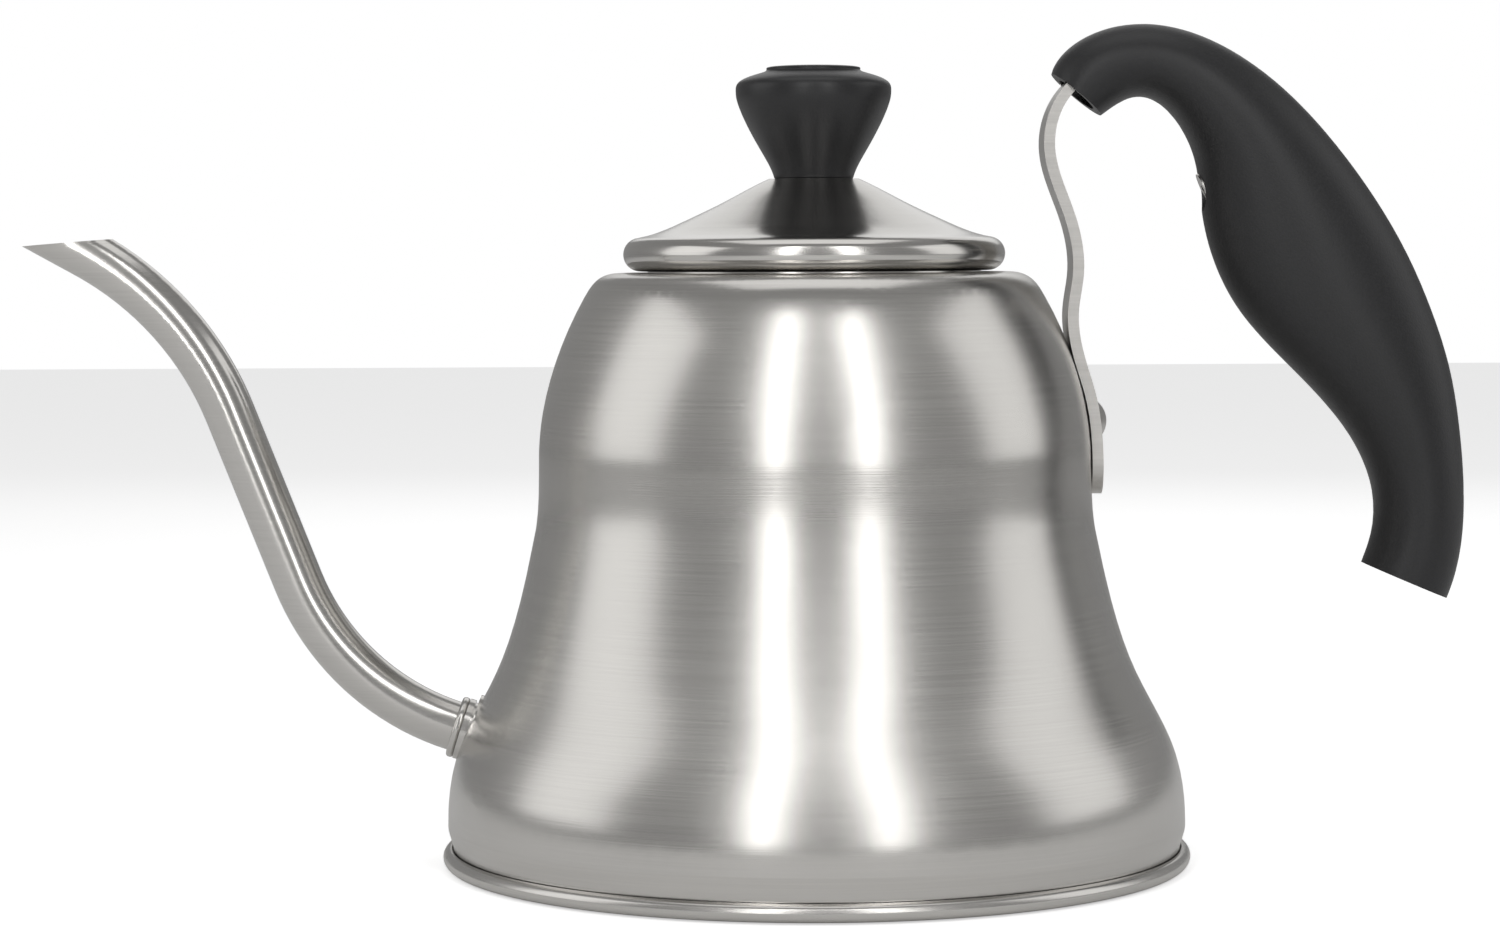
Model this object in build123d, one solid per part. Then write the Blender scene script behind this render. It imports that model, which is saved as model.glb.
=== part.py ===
from build123d import *

import os
from math import cos, pi, radians, sin

# Stovetop gooseneck kettle. Millimetres, +Z up. The origin is on the axis of the body, at the
# middle of its flat underside. The spout points to -X and the handle to +X, in the plane Y = 0.

# Sheet thicknesses and fits
BODY_WALL = 0.8
BASE_SHEET = 1.3
LID_WALL = 0.7
SKIRT_WALL = 0.6
SPOUT_WALL = 0.6
SLIP = 0.05  # radial, a shank or tube in its hole
LID_PLAY = 0.35  # radial, the lid's skirt in the mouth
LID_SEAT_GAP = 0.3  # rolled rim of the lid over the mouth
TANG_PLAY = 0.3  # strap in the slot of the grip

# Bell of the body: radii of its outer face and the heights where they are
BODY_H = 114.3
RING_R = 72.5
SEAM_INSET = 2.0  # from the ring to the tuck above it
SKIRT_INSET = 1.0  # from the ring to the straight skirt
SKIRT_Z = 8.0
KNEE_INSET, KNEE_Z = 3.1, 21.9
FLANK_R, FLANK_Z = 61.5, 38.1
HOLLOW_R, HOLLOW_Z = 54.6, 62.5
WAIST_R, WAIST_Z = 53.4, 78.0
SHOULDER_R, SHOULDER_DROP = 50.4, 18.3
BROW_R, BROW_DROP = 44.3, 4.5
MOUTH_R, MOUTH_FLAT_R = 32.5, 37.6
MOUTH_ROLL_R, MOUTH_LIP_DROP = 1.2, 4.5
HEM_FLANGE = 1.3  # how far the hem's flange reaches past the tuck
SEAM_GAP = 0.3

# Lid
BEAD_R, BEAD_RING_R = 3.2, 33.65
CONE_RISE, SEAT_R, SCREW_HOLE_R = 18.0, 8.7, 2.1
SKIRT_DEPTH, SKIRT_HEM = 6.0, 1.2
VENT_SLOT = (13.5, 21.5)
VENT_WIDTH = 2.6
VENT_HOLES = (24.3, 27.4)

# Knob and what holds it
KNOB_H, KNOB_R, KNOB_STEM_R, KNOB_RIM_Z = 21.7, 15.0, 7.7, 17.1
INSERT_R, INSERT_H, SCREW_R = 3.4, 9.0, 1.95
SCREW_LENGTH, SCREW_HEAD_R, SCREW_HEAD_H = 10.0, 3.8, 2.4
WASHER_R, WASHER_T, SPRING_R, SPRING_T = 5.0, 0.8, 3.6, 1.0

# Spout: a round tube of three straight runs joined by two wide bends
TUBE_R = 4.85
SPOUT_Z, ROOT_TILT, ROOT_STAND = 26.0, 18.0, 1.2
LOWER_CORNER, LOWER_BEND = (23.1, 7.5), 48.5
UPPER_CORNER, UPPER_BEND = (52.3, 6.4), 61.0  # out from the root, and down from the brim
TUBE_END = (86.2, 12.4)  # out from the root, and up from the brim
LIP_POINT, LIP_TILT = (83.7, 5.7), 4.4
COLLAR_R, COLLAR_T, SOCKET_T, SOCKET_R, SOCKET_DEPTH = 6.05, 1.5, 1.2, 5.6, 4.6
SPIGOT = 3.6

# Handle strap: a flat bar, its foot pressed to the wall of the body
STRAP_T, STRAP_W = 1.8, 14.0
RIVET_DROP, FOOT_DROP, FOOT_TOP_DROP = 28.8, 43.1, 16.5
FOOT_SINK = 0.15
RIVET_R, RIVET_HEAD_R, RIVET_DOME, TAIL_R, TAIL_T = 2.0, 3.6, 1.6, 3.2, 1.0
# Free part of the strap, then its tang in the grip: out from the wall at the rivet, up from it
STRAP_RUN = [(-3.3, 21.5), (-2.4, 28.0), (-3.9, 39.0), (-7.9, 52.5), (-6.2, 60.6)]
TANG_RUN = [(0.6, 67.4), (9.0, 69.4), (18.5, 65.5), (28.0, 54.0), (35.0, 42.0)]

# Grip: stations (inner x, z, outer x, z, width), measured like the strap's points
GRIP = [
    (2.5, 58.7, -7.0, 66.7, 17.0),
    (7.0, 61.6, -2.6, 72.4, 18.0),
    (11.5, 62.0, 7.0, 76.0, 19.0),
    (19.4, 53.6, 32.0, 68.2, 22.0),
    (21.4, 46.0, 46.5, 54.4, 23.5),
    (23.1, 34.8, 59.2, 36.2, 24.0),
    (29.4, 21.0, 66.1, 21.5, 23.5),
    (41.7, 7.6, 70.3, 8.0, 22.0),
    (50.0, -2.1, 71.9, -2.1, 20.5),
    (55.2, -14.0, 72.8, -15.0, 19.0),
    (55.0, -22.5, 72.1, -26.0, 18.2),
    (53.2, -27.9, 69.6, -34.9, 17.5),
]
MOUTH_DEPTH, GRIP_WALL = 5.0, 2.0
GRIP_SCREW_AT = (22.4, 44.0)
GRIP_SCREW_R, GRIP_SCREW_LENGTH, GRIP_SCREW_HEAD_R = 1.9, 15.0, 3.6
GRIP_SCREW_SINK = 2.0


def at_xz(points, y=0.0):
    return [Vector(x, y, z) for x, z in points]


def spun(face):
    """A solid turned about Z from a face drawn with x as radius and y as height."""
    return revolve(Plane.XZ * face, Axis.Z)


def as_spline(edge):
    """An edge that was offset from a curve, redrawn as a plain spline."""
    if edge.geom_type != GeomType.OFFSET:
        return edge
    return Edge.make_spline([edge @ (i / 12) for i in range(13)], tangents=[edge % 0, edge % 1])


def sheet(edges, wall, side):
    """A face of one thickness along a chain of edges."""
    chain = Wire.combine([edge.edge() for edge in edges])[0]
    return make_face([as_spline(edge) for edge in offset(chain, wall, side=side).edges()])


def rod(radius, start, end):
    """A round solid between two points."""
    way = Vector(*end) - Vector(*start)
    plane = Plane(origin=start, z_dir=way)
    return plane * extrude(Circle(radius), way.length)


# ---- Body -----------------------------------------------------------------------------------

FLANK = Spline(
    (RING_R - SKIRT_INSET, SKIRT_Z),
    (RING_R - KNEE_INSET, KNEE_Z),
    (FLANK_R, FLANK_Z),
    (HOLLOW_R, HOLLOW_Z),
    (WAIST_R, WAIST_Z),
    tangents=((0, 1), (0, 1)),
)
SHOULDER = Spline(
    (WAIST_R, WAIST_Z),
    (SHOULDER_R, BODY_H - SHOULDER_DROP),
    (BROW_R, BODY_H - BROW_DROP),
    (MOUTH_FLAT_R, BODY_H),
    tangents=((0, 1), (-1, 0)),
)


def wall_radius(height):
    """Outer radius of the bell at a height."""
    curve = FLANK if height < WAIST_Z else SHOULDER
    low, high = 0.0, 1.0
    for _ in range(30):
        middle = (low + high) / 2
        if (curve @ middle).Y < height:
            low = middle
        else:
            high = middle
    return (curve @ low).X


SEAM_R = RING_R - SEAM_INSET
FLANGE_TOP = BASE_SHEET + BODY_WALL
RIVET_Z = BODY_H - RIVET_DROP
RIVET_X = wall_radius(RIVET_Z)
RIVET_WAY = Vector(2, 0, wall_radius(RIVET_Z - 1) - wall_radius(RIVET_Z + 1)).normalized()
ROOT_ANGLE = radians(ROOT_TILT)
ROOT_DIR = (-cos(ROOT_ANGLE), 0, sin(ROOT_ANGLE))
ROOT_X = -wall_radius(SPOUT_Z) - ROOT_STAND


def from_root(along):
    """A point on the axis of the spout's root, outwards from the face of its joint."""
    return (ROOT_X + along * ROOT_DIR[0], 0, SPOUT_Z + along * ROOT_DIR[2])


def along_rivet(out):
    """A point on the axis of the rivet, outwards from the face of the wall."""
    return tuple(Vector(RIVET_X, 0, RIVET_Z) + RIVET_WAY * out)


def bell_outline():
    tuck_z = FLANGE_TOP + 1.2
    roll_z = BODY_H - MOUTH_ROLL_R
    return [
        Line((SEAM_R + HEM_FLANGE, FLANGE_TOP), (SEAM_R, FLANGE_TOP)),
        Line((SEAM_R, FLANGE_TOP), (SEAM_R, tuck_z)),
        Spline((SEAM_R, tuck_z), (RING_R - SKIRT_INSET, SKIRT_Z), tangents=((0, 1), (0, 1))),
        FLANK,
        SHOULDER,
        Line((MOUTH_FLAT_R, BODY_H), (MOUTH_R + MOUTH_ROLL_R, BODY_H)),
        CenterArc((MOUTH_R + MOUTH_ROLL_R, roll_z), MOUTH_ROLL_R, 90, 90),
        Line((MOUTH_R, roll_z), (MOUTH_R, BODY_H - MOUTH_LIP_DROP)),
    ]


def bell_envelope():
    """Everything inside the outer face of the bell."""
    outline = bell_outline()[1:6]
    top, foot = (MOUTH_R + MOUTH_ROLL_R, BODY_H), (SEAM_R, FLANGE_TOP)
    closing = [Line(top, (0, BODY_H)), Line((0, BODY_H), (0, FLANGE_TOP)), Line((0, FLANGE_TOP), foot)]
    return spun(make_face(outline + closing))


def body_shell():
    shell = spun(sheet(bell_outline(), BODY_WALL, Side.LEFT))
    spout_hole = rod(SOCKET_R + SLIP, from_root(-12), from_root(6))
    rivet_hole = rod(RIVET_R + SLIP, along_rivet(-5), along_rivet(5))
    return shell - spout_hole - rivet_hole


def base_plate():
    """Bottom disc, its rim rolled over the flange of the bell."""
    ring_h = FLANGE_TOP + BASE_SHEET
    flange_r = SEAM_R + HEM_FLANGE
    lip_r = SEAM_R + SEAM_GAP
    outline = [
        Line((0, 0), (lip_r, 0)),
        ThreePointArc((lip_r, 0), (RING_R, ring_h / 2), (lip_r, ring_h)),
        Line((lip_r, ring_h), (lip_r, FLANGE_TOP)),
        Line((lip_r, FLANGE_TOP), (flange_r, FLANGE_TOP)),
        Line((flange_r, FLANGE_TOP), (flange_r, BASE_SHEET)),
        Line((flange_r, BASE_SHEET), (0, BASE_SHEET)),
        Line((0, BASE_SHEET), (0, 0)),
    ]
    return spun(make_face(outline))


# ---- Spout ----------------------------------------------------------------------------------


def spout_socket():
    """Collar in the wall of the body that carries the spout."""
    flange = rod(COLLAR_R, from_root(-SOCKET_T), from_root(0))
    neck = rod(COLLAR_R + 1.3, from_root(-SOCKET_T - 3.0), from_root(-SOCKET_T - 0.5))
    outside = flange + neck - bell_envelope()
    barrel = rod(SOCKET_R, from_root(-SOCKET_DEPTH), from_root(-SOCKET_T / 2))
    return outside + barrel - rod(TUBE_R + SLIP, from_root(-12), from_root(6))


def tube(radius):
    """Round solid along the middle of the spout, cut off at the level of its mouth."""
    points = [
        from_root(-SPIGOT),
        (ROOT_X - LOWER_CORNER[0], 0, SPOUT_Z + LOWER_CORNER[1]),
        (ROOT_X - UPPER_CORNER[0], 0, BODY_H - UPPER_CORNER[1]),
        (ROOT_X - TUBE_END[0], 0, BODY_H + TUBE_END[1]),
    ]
    path = FilletPolyline(*points, radius=[LOWER_BEND, UPPER_BEND])
    section = Plane(origin=points[0], z_dir=ROOT_DIR) * Circle(radius)
    return sweep(section, path=path)


def spout_tube():
    lip = Plane(
        origin=(ROOT_X - LIP_POINT[0], 0, BODY_H + LIP_POINT[1]),
        z_dir=(-sin(radians(LIP_TILT)), 0, cos(radians(LIP_TILT))),
    )
    above = lip * Pos(0, 0, 20) * Box(120, 40, 40)
    bead = rod(COLLAR_R, from_root(0), from_root(COLLAR_T))
    bead = fillet(bead.edges().filter_by(GeomType.CIRCLE), COLLAR_T * 0.4)
    return tube(TUBE_R) + bead - tube(TUBE_R - SPOUT_WALL) - above


# ---- Handle ---------------------------------------------------------------------------------


def strap_line():
    """Middle line of the strap, from its foot up the wall and over into the grip."""
    foot_z = BODY_H - FOOT_DROP
    foot_top = BODY_H - FOOT_TOP_DROP
    steps = 4
    points = []
    for i in range(steps + 1):
        z = foot_z + (foot_top - foot_z) * i / steps
        points.append((wall_radius(z) + STRAP_T / 2, z))
    points += [(RIVET_X + x, RIVET_Z + z) for x, z in STRAP_RUN + TANG_RUN]
    return Spline(*at_xz(points))


def bar(line, thickness, width):
    """Flat bar along a line in the X-Z plane, standing off both its faces alike."""
    stations = [line @ (i / 60) for i in range(61)]
    normals = [Vector(0, 1, 0).cross(line % (i / 60)) for i in range(61)]
    one = [p + n * (thickness / 2) for p, n in zip(stations, normals)]
    other = [p - n * (thickness / 2) for p, n in zip(stations, normals)]
    sides = [Spline(*one), Line(one[-1], other[-1]), Spline(*other[::-1]), Line(other[0], one[0])]
    face = make_face(sides)
    return extrude(face, width / 2, dir=(0, 1, 0), both=True)


def handle_strap():
    foot_z = BODY_H - FOOT_DROP
    strap = bar(strap_line(), STRAP_T + 2 * FOOT_SINK, STRAP_W)
    round_end = Plane.YZ * Pos(0, foot_z + STRAP_W / 2) * Circle(STRAP_W / 2)
    square_end = Plane.YZ * Pos(0, foot_z + STRAP_W / 4 - 1) * Rectangle(STRAP_W + 2, STRAP_W / 2 + 2)
    trim = extrude(square_end, RIVET_X + 20) - extrude(round_end, RIVET_X + 20)
    hole = rod(RIVET_R + SLIP, along_rivet(-5), along_rivet(8))
    return strap - trim - bell_envelope() - hole - grip_screw_hole(SLIP)


def handle_rivet():
    """Domed rivet through the strap's foot and the wall, with its tail formed inside."""
    face = STRAP_T + FOOT_SINK + SLIP
    inside = -BODY_WALL - 3 * SLIP
    tail_end, top = inside - TAIL_T, face + RIVET_DOME
    dome_r = (RIVET_HEAD_R**2 + RIVET_DOME**2) / (2 * RIVET_DOME)
    steps = [(0, tail_end), (TAIL_R, tail_end), (TAIL_R, inside), (RIVET_R, inside), (RIVET_R, face)]
    outline = [Line(a, b) for a, b in zip(steps, steps[1:])]
    outline += [
        Line((RIVET_R, face), (RIVET_HEAD_R, face)),
        RadiusArc((0, top), (RIVET_HEAD_R, face), dome_r),
        Line((0, top), (0, tail_end)),
    ]
    return Plane(origin=(RIVET_X, 0, RIVET_Z), z_dir=tuple(RIVET_WAY)) * spun(make_face(outline))


def grip_point(x, z):
    return Vector(RIVET_X + x, 0, RIVET_Z + z)


def grip_station(inner_x, inner_z, outer_x, outer_z, width, shrink=0.0):
    """Oval section of the grip between its inner and outer edges."""
    inner, outer = grip_point(inner_x, inner_z), grip_point(outer_x, outer_z)
    across = outer - inner
    plane = Plane(origin=(inner + outer) / 2, x_dir=across, z_dir=across.cross(Vector(0, 1, 0)))
    half, side = across.length / 2 - shrink, width / 2 - shrink
    turns = [2 * pi * i / 16 for i in range(16)]
    return plane * make_face(Spline(*[(half * cos(a), side * sin(a)) for a in turns], periodic=True))


def grip_screw_axis():
    start = grip_point(*GRIP_SCREW_AT)
    return start, Vector(cos(radians(25)), 0, sin(radians(25)))


def grip_screw_hole(play):
    start, way = grip_screw_axis()
    end = start + way * (GRIP_SCREW_SINK + GRIP_SCREW_LENGTH)
    return rod(GRIP_SCREW_R + play, tuple(start - way * 4), tuple(end))


def grip():
    """Moulded grip with a hollow mouth, a slot for the strap's tang and a sunk screw hole."""
    solid = loft([grip_station(*station) for station in GRIP])
    mouth = grip_station(*GRIP[0], shrink=GRIP_WALL)
    inward = grip_point(9.0, 69.4) - grip_point(-3.5, 62.0)
    mouth_hollow = extrude(mouth.face(), MOUTH_DEPTH, dir=inward) + extrude(mouth.face(), 2, dir=-inward)
    slot = bar(strap_line(), STRAP_T + 2 * TANG_PLAY + 2 * FOOT_SINK, STRAP_W + 2 * TANG_PLAY)
    start, way = grip_screw_axis()
    head_hole = rod(GRIP_SCREW_HEAD_R + SLIP, tuple(start - way * 6), tuple(start + way * GRIP_SCREW_SINK))
    return solid - mouth_hollow - slot - grip_screw_hole(SLIP) - head_hole


def grip_screw():
    start, way = grip_screw_axis()
    seat = start + way * GRIP_SCREW_SINK
    head = rod(GRIP_SCREW_HEAD_R, tuple(seat - way * 2), tuple(seat))
    shank = rod(GRIP_SCREW_R, tuple(seat), tuple(seat + way * GRIP_SCREW_LENGTH))
    socket = rod(1.3, tuple(seat - way * 3), tuple(seat - way * 0.7))
    return head + shank - socket


# ---- Lid ------------------------------------------------------------------------------------

CONE_TOP = BODY_H + CONE_RISE
BEAD_Z = BODY_H + LID_SEAT_GAP + BEAD_R


def lid_outline():
    bead_top = (BEAD_RING_R + 0.3, BEAD_Z + BEAD_R + 0.05)
    return [
        Line((SCREW_HOLE_R, CONE_TOP), (SEAT_R, CONE_TOP)),
        Spline(
            (SEAT_R, CONE_TOP),
            (SEAT_R + 9.2, CONE_TOP - 4.7),
            (SEAT_R + 16.8, CONE_TOP - 8.3),
            bead_top,
            tangents=((0.91, -0.41), (0.98, -0.18)),
        ),
        ThreePointArc(bead_top, (BEAD_RING_R + BEAD_R, BEAD_Z), (BEAD_RING_R, BEAD_Z - BEAD_R)),
    ]


def vent_cutters():
    """A slot and two round holes in a line on the spout's side of the lid."""
    low, high = VENT_SLOT
    half = VENT_WIDTH / 2
    slot = extrude(Pos(-(low + high) / 2, 0) * SlotOverall(high - low, VENT_WIDTH), BODY_H * 2)
    holes = [extrude(Pos(-r, 0) * Circle(half), BODY_H * 2) for r in VENT_HOLES]
    return [slot] + holes


def lid_shell():
    shell = spun(sheet(lid_outline(), LID_WALL, Side.RIGHT))
    for cutter in vent_cutters():
        shell -= cutter
    return shell


def lid_skirt():
    """Ring under the lid that keeps it in the mouth."""
    outer = MOUTH_R - LID_PLAY
    foot_z = BODY_H - SKIRT_DEPTH
    wall = Pos(0, 0, foot_z) * (Cylinder(outer, CONE_RISE, align=(Align.CENTER, Align.CENTER, Align.MIN)))
    bore = Pos(0, 0, foot_z + SKIRT_WALL) * Cylinder(
        outer - SKIRT_WALL, CONE_RISE, align=(Align.CENTER, Align.CENTER, Align.MIN)
    )
    hole = Pos(0, 0, foot_z - 1) * Cylinder(
        outer - SKIRT_WALL - SKIRT_HEM, CONE_RISE, align=(Align.CENTER, Align.CENTER, Align.MIN)
    )
    outline = lid_outline()
    start, end = (SCREW_HOLE_R, CONE_TOP), outline[1] @ 1
    under = make_face(
        outline[:2]
        + [
            Line(end, (end.X, CONE_TOP + 9)),
            Line((end.X, CONE_TOP + 9), (SCREW_HOLE_R, CONE_TOP + 9)),
            Line((SCREW_HOLE_R, CONE_TOP + 9), start),
        ]
    )
    return wall - bore - hole - spun(under) - lid_shell()


def knob():
    base = CONE_TOP
    rim = base + KNOB_RIM_Z
    outline = [
        Line((0, base), (KNOB_STEM_R - 0.4, base)),
        CenterArc((KNOB_STEM_R - 0.4, base + 0.4), 0.4, -90, 90),
        Spline(
            (KNOB_STEM_R, base + 0.4),
            (9.6, base + 4.4),
            (12.8, base + 10.2),
            (14.7, base + 14.8),
            (KNOB_R, rim),
            tangents=((0.3, 1), (0, 1)),
        ),
        Spline(
            (KNOB_R, rim),
            (14.0, base + 18.9),
            (9.4, base + 20.6),
            (0, base + KNOB_H),
            tangents=((0, 1), (-1, 0)),
        ),
        Line((0, base + KNOB_H), (0, base)),
    ]
    pocket = rod(INSERT_R, (0, 0, base), (0, 0, base + INSERT_H))
    return spun(make_face(outline)) - pocket


def knob_insert():
    """Threaded metal bush moulded into the knob."""
    base = CONE_TOP
    bush = rod(INSERT_R, (0, 0, base), (0, 0, base + INSERT_H))
    return bush - rod(SCREW_R + SLIP, (0, 0, base - 1), (0, 0, base + INSERT_H - 1))


def washer(radius, thickness, top):
    ring = rod(radius, (0, 0, top - thickness), (0, 0, top))
    return ring - rod(SCREW_R + SLIP, (0, 0, top - thickness - 1), (0, 0, top + 1))


WASHER_TOP = CONE_TOP - LID_WALL
SPRING_TOP = WASHER_TOP - WASHER_T


def knob_spring_washer():
    """Spring washer, split on one side."""
    split = Pos(SPRING_R / 2 + 1, 0, SPRING_TOP - SPRING_T / 2) * Rot(0, 0, 12) * Box(6, 0.6, 4)
    return washer(SPRING_R, SPRING_T, SPRING_TOP) - split


def knob_screw():
    seat = SPRING_TOP - SPRING_T
    head = fillet(
        rod(SCREW_HEAD_R, (0, 0, seat - SCREW_HEAD_H), (0, 0, seat)).edges().sort_by(Axis.Z)[0],
        SCREW_HEAD_H * 0.4,
    )
    shank = rod(SCREW_R, (0, 0, seat), (0, 0, seat + SCREW_LENGTH))
    screw = head + shank
    for turn in (0, 90):
        screw -= Pos(0, 0, seat - SCREW_HEAD_H) * Rot(0, 0, turn) * Box(4.2, 0.9, 2.4)
    return screw


def main():
    os.makedirs("parts", exist_ok=True)
    nodes = {
        "body_shell": body_shell(),
        "base_plate": base_plate(),
        "spout_socket": spout_socket(),
        "spout_tube": spout_tube(),
        "handle_strap": handle_strap(),
        "handle_rivet": handle_rivet(),
        "grip": grip(),
        "grip_screw": grip_screw(),
        "lid_shell": lid_shell(),
        "lid_skirt": lid_skirt(),
        "knob": knob(),
        "knob_insert": knob_insert(),
        "knob_washer": washer(WASHER_R, WASHER_T, WASHER_TOP),
        "knob_spring_washer": knob_spring_washer(),
        "knob_screw": knob_screw(),
    }
    for name, shape in nodes.items():
        export_step(shape, f"parts/{name}.step")


main()
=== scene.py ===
from math import radians

import bpy
from mathutils import Matrix, Vector

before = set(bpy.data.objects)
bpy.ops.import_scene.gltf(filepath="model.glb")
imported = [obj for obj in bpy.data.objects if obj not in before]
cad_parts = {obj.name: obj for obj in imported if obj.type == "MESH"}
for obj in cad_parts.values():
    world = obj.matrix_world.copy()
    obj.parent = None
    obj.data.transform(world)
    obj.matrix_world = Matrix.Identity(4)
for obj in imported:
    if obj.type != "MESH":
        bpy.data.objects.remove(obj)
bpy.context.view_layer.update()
print("frame loaded")

cameraSet = {"place": (-0.01257, -0.745, 0.12015), "down": 3.447, "roll": 0.27, "lens": 92.4}


def makeCamera():
    data = bpy.data.cameras.new("camera")
    data.lens = cameraSet["lens"]
    data.sensor_width = 36
    camera = bpy.data.objects.new("camera", data)
    bpy.context.collection.objects.link(camera)
    camera.location = cameraSet["place"]
    tilt = Matrix.Rotation(radians(90 - cameraSet["down"]), 4, "X")
    roll = Matrix.Rotation(radians(-cameraSet["roll"]), 4, "Z")
    camera.rotation_euler = (tilt @ roll).to_euler()
    bpy.context.scene.camera = camera


makeCamera()
print("camera placed")

lightSet = {
    "keyStrip": {"place": (-0.22, -0.75, 0.45), "size": (0.10, 0.9), "watts": 1.5},
    "fillStrip": {"place": (0.28, -0.75, 0.45), "size": (0.14, 0.9), "watts": 1.5},
    "leftBox": {"place": (-0.95, -0.1, 0.45), "size": (0.7, 0.8), "watts": 1.6},
    "rightBox": {"place": (0.95, 0.0, 0.45), "size": (0.7, 0.8), "watts": 1.4},
    "topBox": {"place": (0.0, 0.05, 1.1), "size": (0.9, 0.7), "watts": 1.5},
    "backBox": {"place": (0.1, 0.95, 0.6), "size": (0.8, 0.6), "watts": 1.0},
}


def makeLight(name, place, size, watts):
    data = bpy.data.lights.new(name, "AREA")
    data.shape = "RECTANGLE"
    data.size, data.size_y = size
    data.energy = watts
    lamp = bpy.data.objects.new(name, data)
    bpy.context.collection.objects.link(lamp)
    lamp.location = place
    aim = Vector((0, 0, 0.07)) - Vector(place)
    lamp.rotation_euler = aim.to_track_quat("-Z", "Y").to_euler()


for lampName, lampValues in lightSet.items():
    makeLight(lampName, **lampValues)
print("lights placed")


def addNode(tree, kind, place=(0, 0), **values):
    node = tree.nodes.new(kind)
    node.location = place
    for key, value in values.items():
        setattr(node, key, value)
    return node


worldSet = {"seen": 1.0, "lit": 0.28}  # white to the camera, dimmer as light


def whiteWorld():
    world = bpy.data.worlds.new("studio")
    world.use_nodes = True
    bpy.context.scene.world = world
    tree = world.node_tree
    back = tree.nodes["Background"]
    path = addNode(tree, "ShaderNodeLightPath")
    seen = addNode(tree, "ShaderNodeMapRange")
    seen.inputs["To Min"].default_value = worldSet["lit"]
    seen.inputs["To Max"].default_value = worldSet["seen"]
    tree.links.new(path.outputs["Is Camera Ray"], seen.inputs["Value"])
    tree.links.new(seen.outputs["Result"], back.inputs["Strength"])
    back.inputs["Color"].default_value = (1, 1, 1, 1)


whiteWorld()

floorSet = {"size": 6, "height": -0.0003, "tone": (0.9, 0.9, 0.9, 1), "roughness": 0.8, "lift": 0.55}


def makeFloor():
    bpy.ops.object.select_all(action="DESELECT")
    bpy.ops.mesh.primitive_plane_add(size=floorSet["size"], location=(0, 0, floorSet["height"]))
    floor = bpy.context.object
    floor.name = "floor"
    material = bpy.data.materials.new("floor")
    material.use_nodes = True
    tree = material.node_tree
    surface = tree.nodes["Principled BSDF"]
    surface.inputs["Base Color"].default_value = floorSet["tone"]
    surface.inputs["Roughness"].default_value = floorSet["roughness"]
    surface.inputs["Emission Color"].default_value = (1, 1, 1, 1)
    path = addNode(tree, "ShaderNodeLightPath")
    lift = addNode(tree, "ShaderNodeMath", operation="MULTIPLY")
    lift.inputs[1].default_value = floorSet["lift"]  # brings it near the backdrop's white, and keeps the shadow
    tree.links.new(path.outputs["Is Camera Ray"], lift.inputs[0])
    tree.links.new(lift.outputs[0], surface.inputs["Emission Strength"])
    floor.data.materials.append(material)


makeFloor()
print("floor laid")


def startGroup(name, numbers):
    # a shader group that takes numbers and a tone, and gives a colour, a roughness and a height
    group = bpy.data.node_groups.new(name, "ShaderNodeTree")
    face = group.interface
    for label, value in numbers.items():
        socket = face.new_socket(name=label, in_out="INPUT", socket_type="NodeSocketFloat")
        socket.default_value = value
    face.new_socket(name="Tone", in_out="INPUT", socket_type="NodeSocketColor")
    face.new_socket(name="Color", in_out="OUTPUT", socket_type="NodeSocketColor")
    for label in ("Roughness", "Height"):
        face.new_socket(name=label, in_out="OUTPUT", socket_type="NodeSocketFloat")
    return group, addNode(group, "NodeGroupInput"), addNode(group, "NodeGroupOutput")


def addTint(group, source, sink, pattern, low, high):
    # the tone, made darker and lighter by the pattern
    shade = addNode(group, "ShaderNodeMapRange")
    shade.inputs["To Min"].default_value = low
    shade.inputs["To Max"].default_value = high
    group.links.new(pattern, shade.inputs["Value"])
    tint = addNode(group, "ShaderNodeVectorMath", operation="SCALE")
    group.links.new(source.outputs["Tone"], tint.inputs[0])
    group.links.new(shade.outputs["Result"], tint.inputs["Scale"])
    group.links.new(tint.outputs[0], sink.inputs["Color"])


brushedSet = {
    "aroundScale": 25.0,
    "grainDetail": 3.0,
    "smudgeScale": 35.0,
    "smudgeDetail": 4.0,
    "tint": (0.88, 1.1),
}


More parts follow.
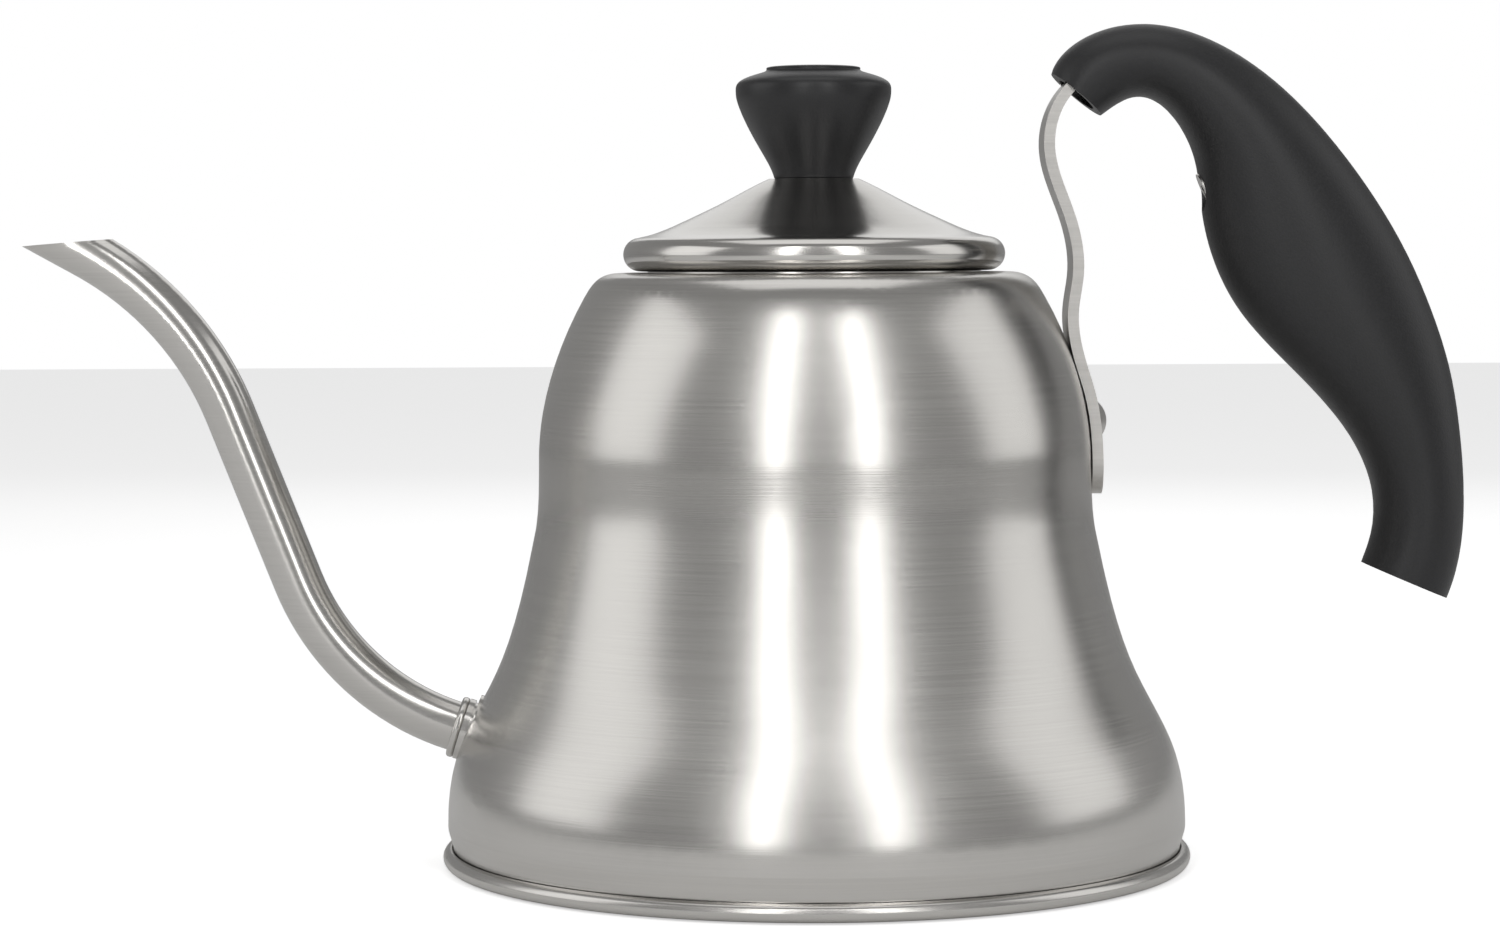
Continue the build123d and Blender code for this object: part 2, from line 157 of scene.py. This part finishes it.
def brushedGroup():
    # grain that runs round the upright axis, with soft smudges in its roughness
    group, source, sink = startGroup("brushedGrain", {"Fineness": 9000.0, "Depth": 0.1, "Base Roughness": 0.25})
    coords = addNode(group, "ShaderNodeTexCoord")
    split = addNode(group, "ShaderNodeSeparateXYZ")
    group.links.new(coords.outputs["Object"], split.inputs[0])
    rise = addNode(group, "ShaderNodeMath", operation="MULTIPLY")
    group.links.new(split.outputs["Z"], rise.inputs[0])
    group.links.new(source.outputs["Fineness"], rise.inputs[1])
    joined = addNode(group, "ShaderNodeCombineXYZ")
    for axis in "XY":
        slow = addNode(group, "ShaderNodeMath", operation="MULTIPLY")
        slow.inputs[1].default_value = brushedSet["aroundScale"]
        group.links.new(split.outputs[axis], slow.inputs[0])
        group.links.new(slow.outputs[0], joined.inputs[axis])
    group.links.new(rise.outputs[0], joined.inputs["Z"])
    grain = addNode(group, "ShaderNodeTexNoise")
    grain.inputs["Scale"].default_value = 1.0
    grain.inputs["Detail"].default_value = brushedSet["grainDetail"]
    group.links.new(joined.outputs[0], grain.inputs["Vector"])
    smudge = addNode(group, "ShaderNodeTexNoise")
    smudge.inputs["Scale"].default_value = brushedSet["smudgeScale"]
    smudge.inputs["Detail"].default_value = brushedSet["smudgeDetail"]
    group.links.new(coords.outputs["Object"], smudge.inputs["Vector"])
    mixed = addNode(group, "ShaderNodeMath", operation="ADD")
    group.links.new(grain.outputs["Fac"], mixed.inputs[0])
    group.links.new(smudge.outputs["Fac"], mixed.inputs[1])
    swing = addNode(group, "ShaderNodeMath", operation="MULTIPLY_ADD")
    group.links.new(mixed.outputs[0], swing.inputs[0])
    group.links.new(source.outputs["Depth"], swing.inputs[1])
    group.links.new(source.outputs["Base Roughness"], swing.inputs[2])
    group.links.new(swing.outputs[0], sink.inputs["Roughness"])
    group.links.new(grain.outputs["Fac"], sink.inputs["Height"])
    addTint(group, source, sink, grain.outputs["Fac"], *brushedSet["tint"])
    return group


mouldedSet = {"detail": 2.0, "roughnessSwing": 0.18, "tint": (0.6, 1.5)}


def mouldedGroup():
    # fine pitted grain of moulded plastic
    group, source, sink = startGroup("mouldedGrain", {"Scale": 2500.0, "Base Roughness": 0.42})
    coords = addNode(group, "ShaderNodeTexCoord")
    pits = addNode(group, "ShaderNodeTexNoise")
    pits.inputs["Detail"].default_value = mouldedSet["detail"]
    group.links.new(coords.outputs["Object"], pits.inputs["Vector"])
    group.links.new(source.outputs["Scale"], pits.inputs["Scale"])
    group.links.new(pits.outputs["Fac"], sink.inputs["Height"])
    swing = addNode(group, "ShaderNodeMath", operation="MULTIPLY_ADD")
    swing.inputs[1].default_value = mouldedSet["roughnessSwing"]
    group.links.new(pits.outputs["Fac"], swing.inputs[0])
    group.links.new(source.outputs["Base Roughness"], swing.inputs[2])
    group.links.new(swing.outputs[0], sink.inputs["Roughness"])
    addTint(group, source, sink, pits.outputs["Fac"], *mouldedSet["tint"])
    return group


brushed, moulded = brushedGroup(), mouldedGroup()
reliefDepth = 0.0001


def finishMaterial(name, group, metallic, bump, anisotropy=0.0, **values):
    material = bpy.data.materials.new(name)
    material.use_nodes = True
    tree = material.node_tree
    surface = tree.nodes["Principled BSDF"]
    surface.inputs["Metallic"].default_value = metallic
    surface.inputs["Anisotropic"].default_value = anisotropy
    pattern = addNode(tree, "ShaderNodeGroup", (-500, 0), node_tree=group)
    for key, value in values.items():
        pattern.inputs[key.replace("_", " ")].default_value = value
    relief = addNode(tree, "ShaderNodeBump", (-250, -200))
    relief.inputs["Strength"].default_value = bump
    relief.inputs["Distance"].default_value = reliefDepth
    tree.links.new(pattern.outputs["Height"], relief.inputs["Height"])
    tree.links.new(relief.outputs["Normal"], surface.inputs["Normal"])
    for label, target in (("Color", "Base Color"), ("Roughness", "Roughness")):
        tree.links.new(pattern.outputs[label], surface.inputs[target])
    if anisotropy:  # highlights are drawn out across the brushing
        tangent = addNode(tree, "ShaderNodeTangent", (-250, -400), direction_type="RADIAL", axis="Z")
        tree.links.new(tangent.outputs[0], surface.inputs["Tangent"])
    return material


steelTone = (0.62, 0.605, 0.58, 1)
finishes = {
    "bodySteel": finishMaterial(
        "bodySteel", brushed, 1.0, 0.06, 0.7, Fineness=7000, Depth=0.07, Base_Roughness=0.16, Tone=steelTone
    ),
    "lidSteel": finishMaterial(
        "lidSteel", brushed, 1.0, 0.05, 0.6, Fineness=9000, Depth=0.06, Base_Roughness=0.12, Tone=steelTone
    ),
    "spoutSteel": finishMaterial(
        "spoutSteel", brushed, 1.0, 0.03, Fineness=3000, Depth=0.06, Base_Roughness=0.14, Tone=steelTone
    ),
    "strapSteel": finishMaterial(
        "strapSteel", brushed, 1.0, 0.08, Fineness=2500, Depth=0.12, Base_Roughness=0.22, Tone=steelTone
    ),
    "screwSteel": finishMaterial(
        "screwSteel", brushed, 1.0, 0.05, Fineness=2500, Depth=0.1, Base_Roughness=0.2, Tone=steelTone
    ),
    "insertBrass": finishMaterial(
        "insertBrass", brushed, 1.0, 0.05, Fineness=2500, Depth=0.1, Base_Roughness=0.2, Tone=(0.7, 0.52, 0.25, 1)
    ),
    "gripPlastic": finishMaterial(
        "gripPlastic", moulded, 0.0, 0.35, Scale=2200, Base_Roughness=0.36, Tone=(0.012, 0.012, 0.013, 1)
    ),
    "knobPlastic": finishMaterial(
        "knobPlastic", moulded, 0.0, 0.15, Scale=3500, Base_Roughness=0.3, Tone=(0.012, 0.012, 0.013, 1)
    ),
}
nodeFinish = {
    "body_shell": "bodySteel",
    "base_plate": "bodySteel",
    "spout_socket": "spoutSteel",
    "spout_tube": "spoutSteel",
    "handle_strap": "strapSteel",
    "handle_rivet": "strapSteel",
    "grip": "gripPlastic",
    "grip_screw": "screwSteel",
    "lid_shell": "lidSteel",
    "lid_skirt": "lidSteel",
    "knob": "knobPlastic",
    "knob_insert": "insertBrass",
    "knob_washer": "screwSteel",
    "knob_spring_washer": "screwSteel",
    "knob_screw": "screwSteel",
}
for nodeName, finishName in nodeFinish.items():
    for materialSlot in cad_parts[nodeName].material_slots:
        materialSlot.material = finishes[finishName]
print("finishes given")

bpy.context.scene.view_settings.view_transform = "Standard"
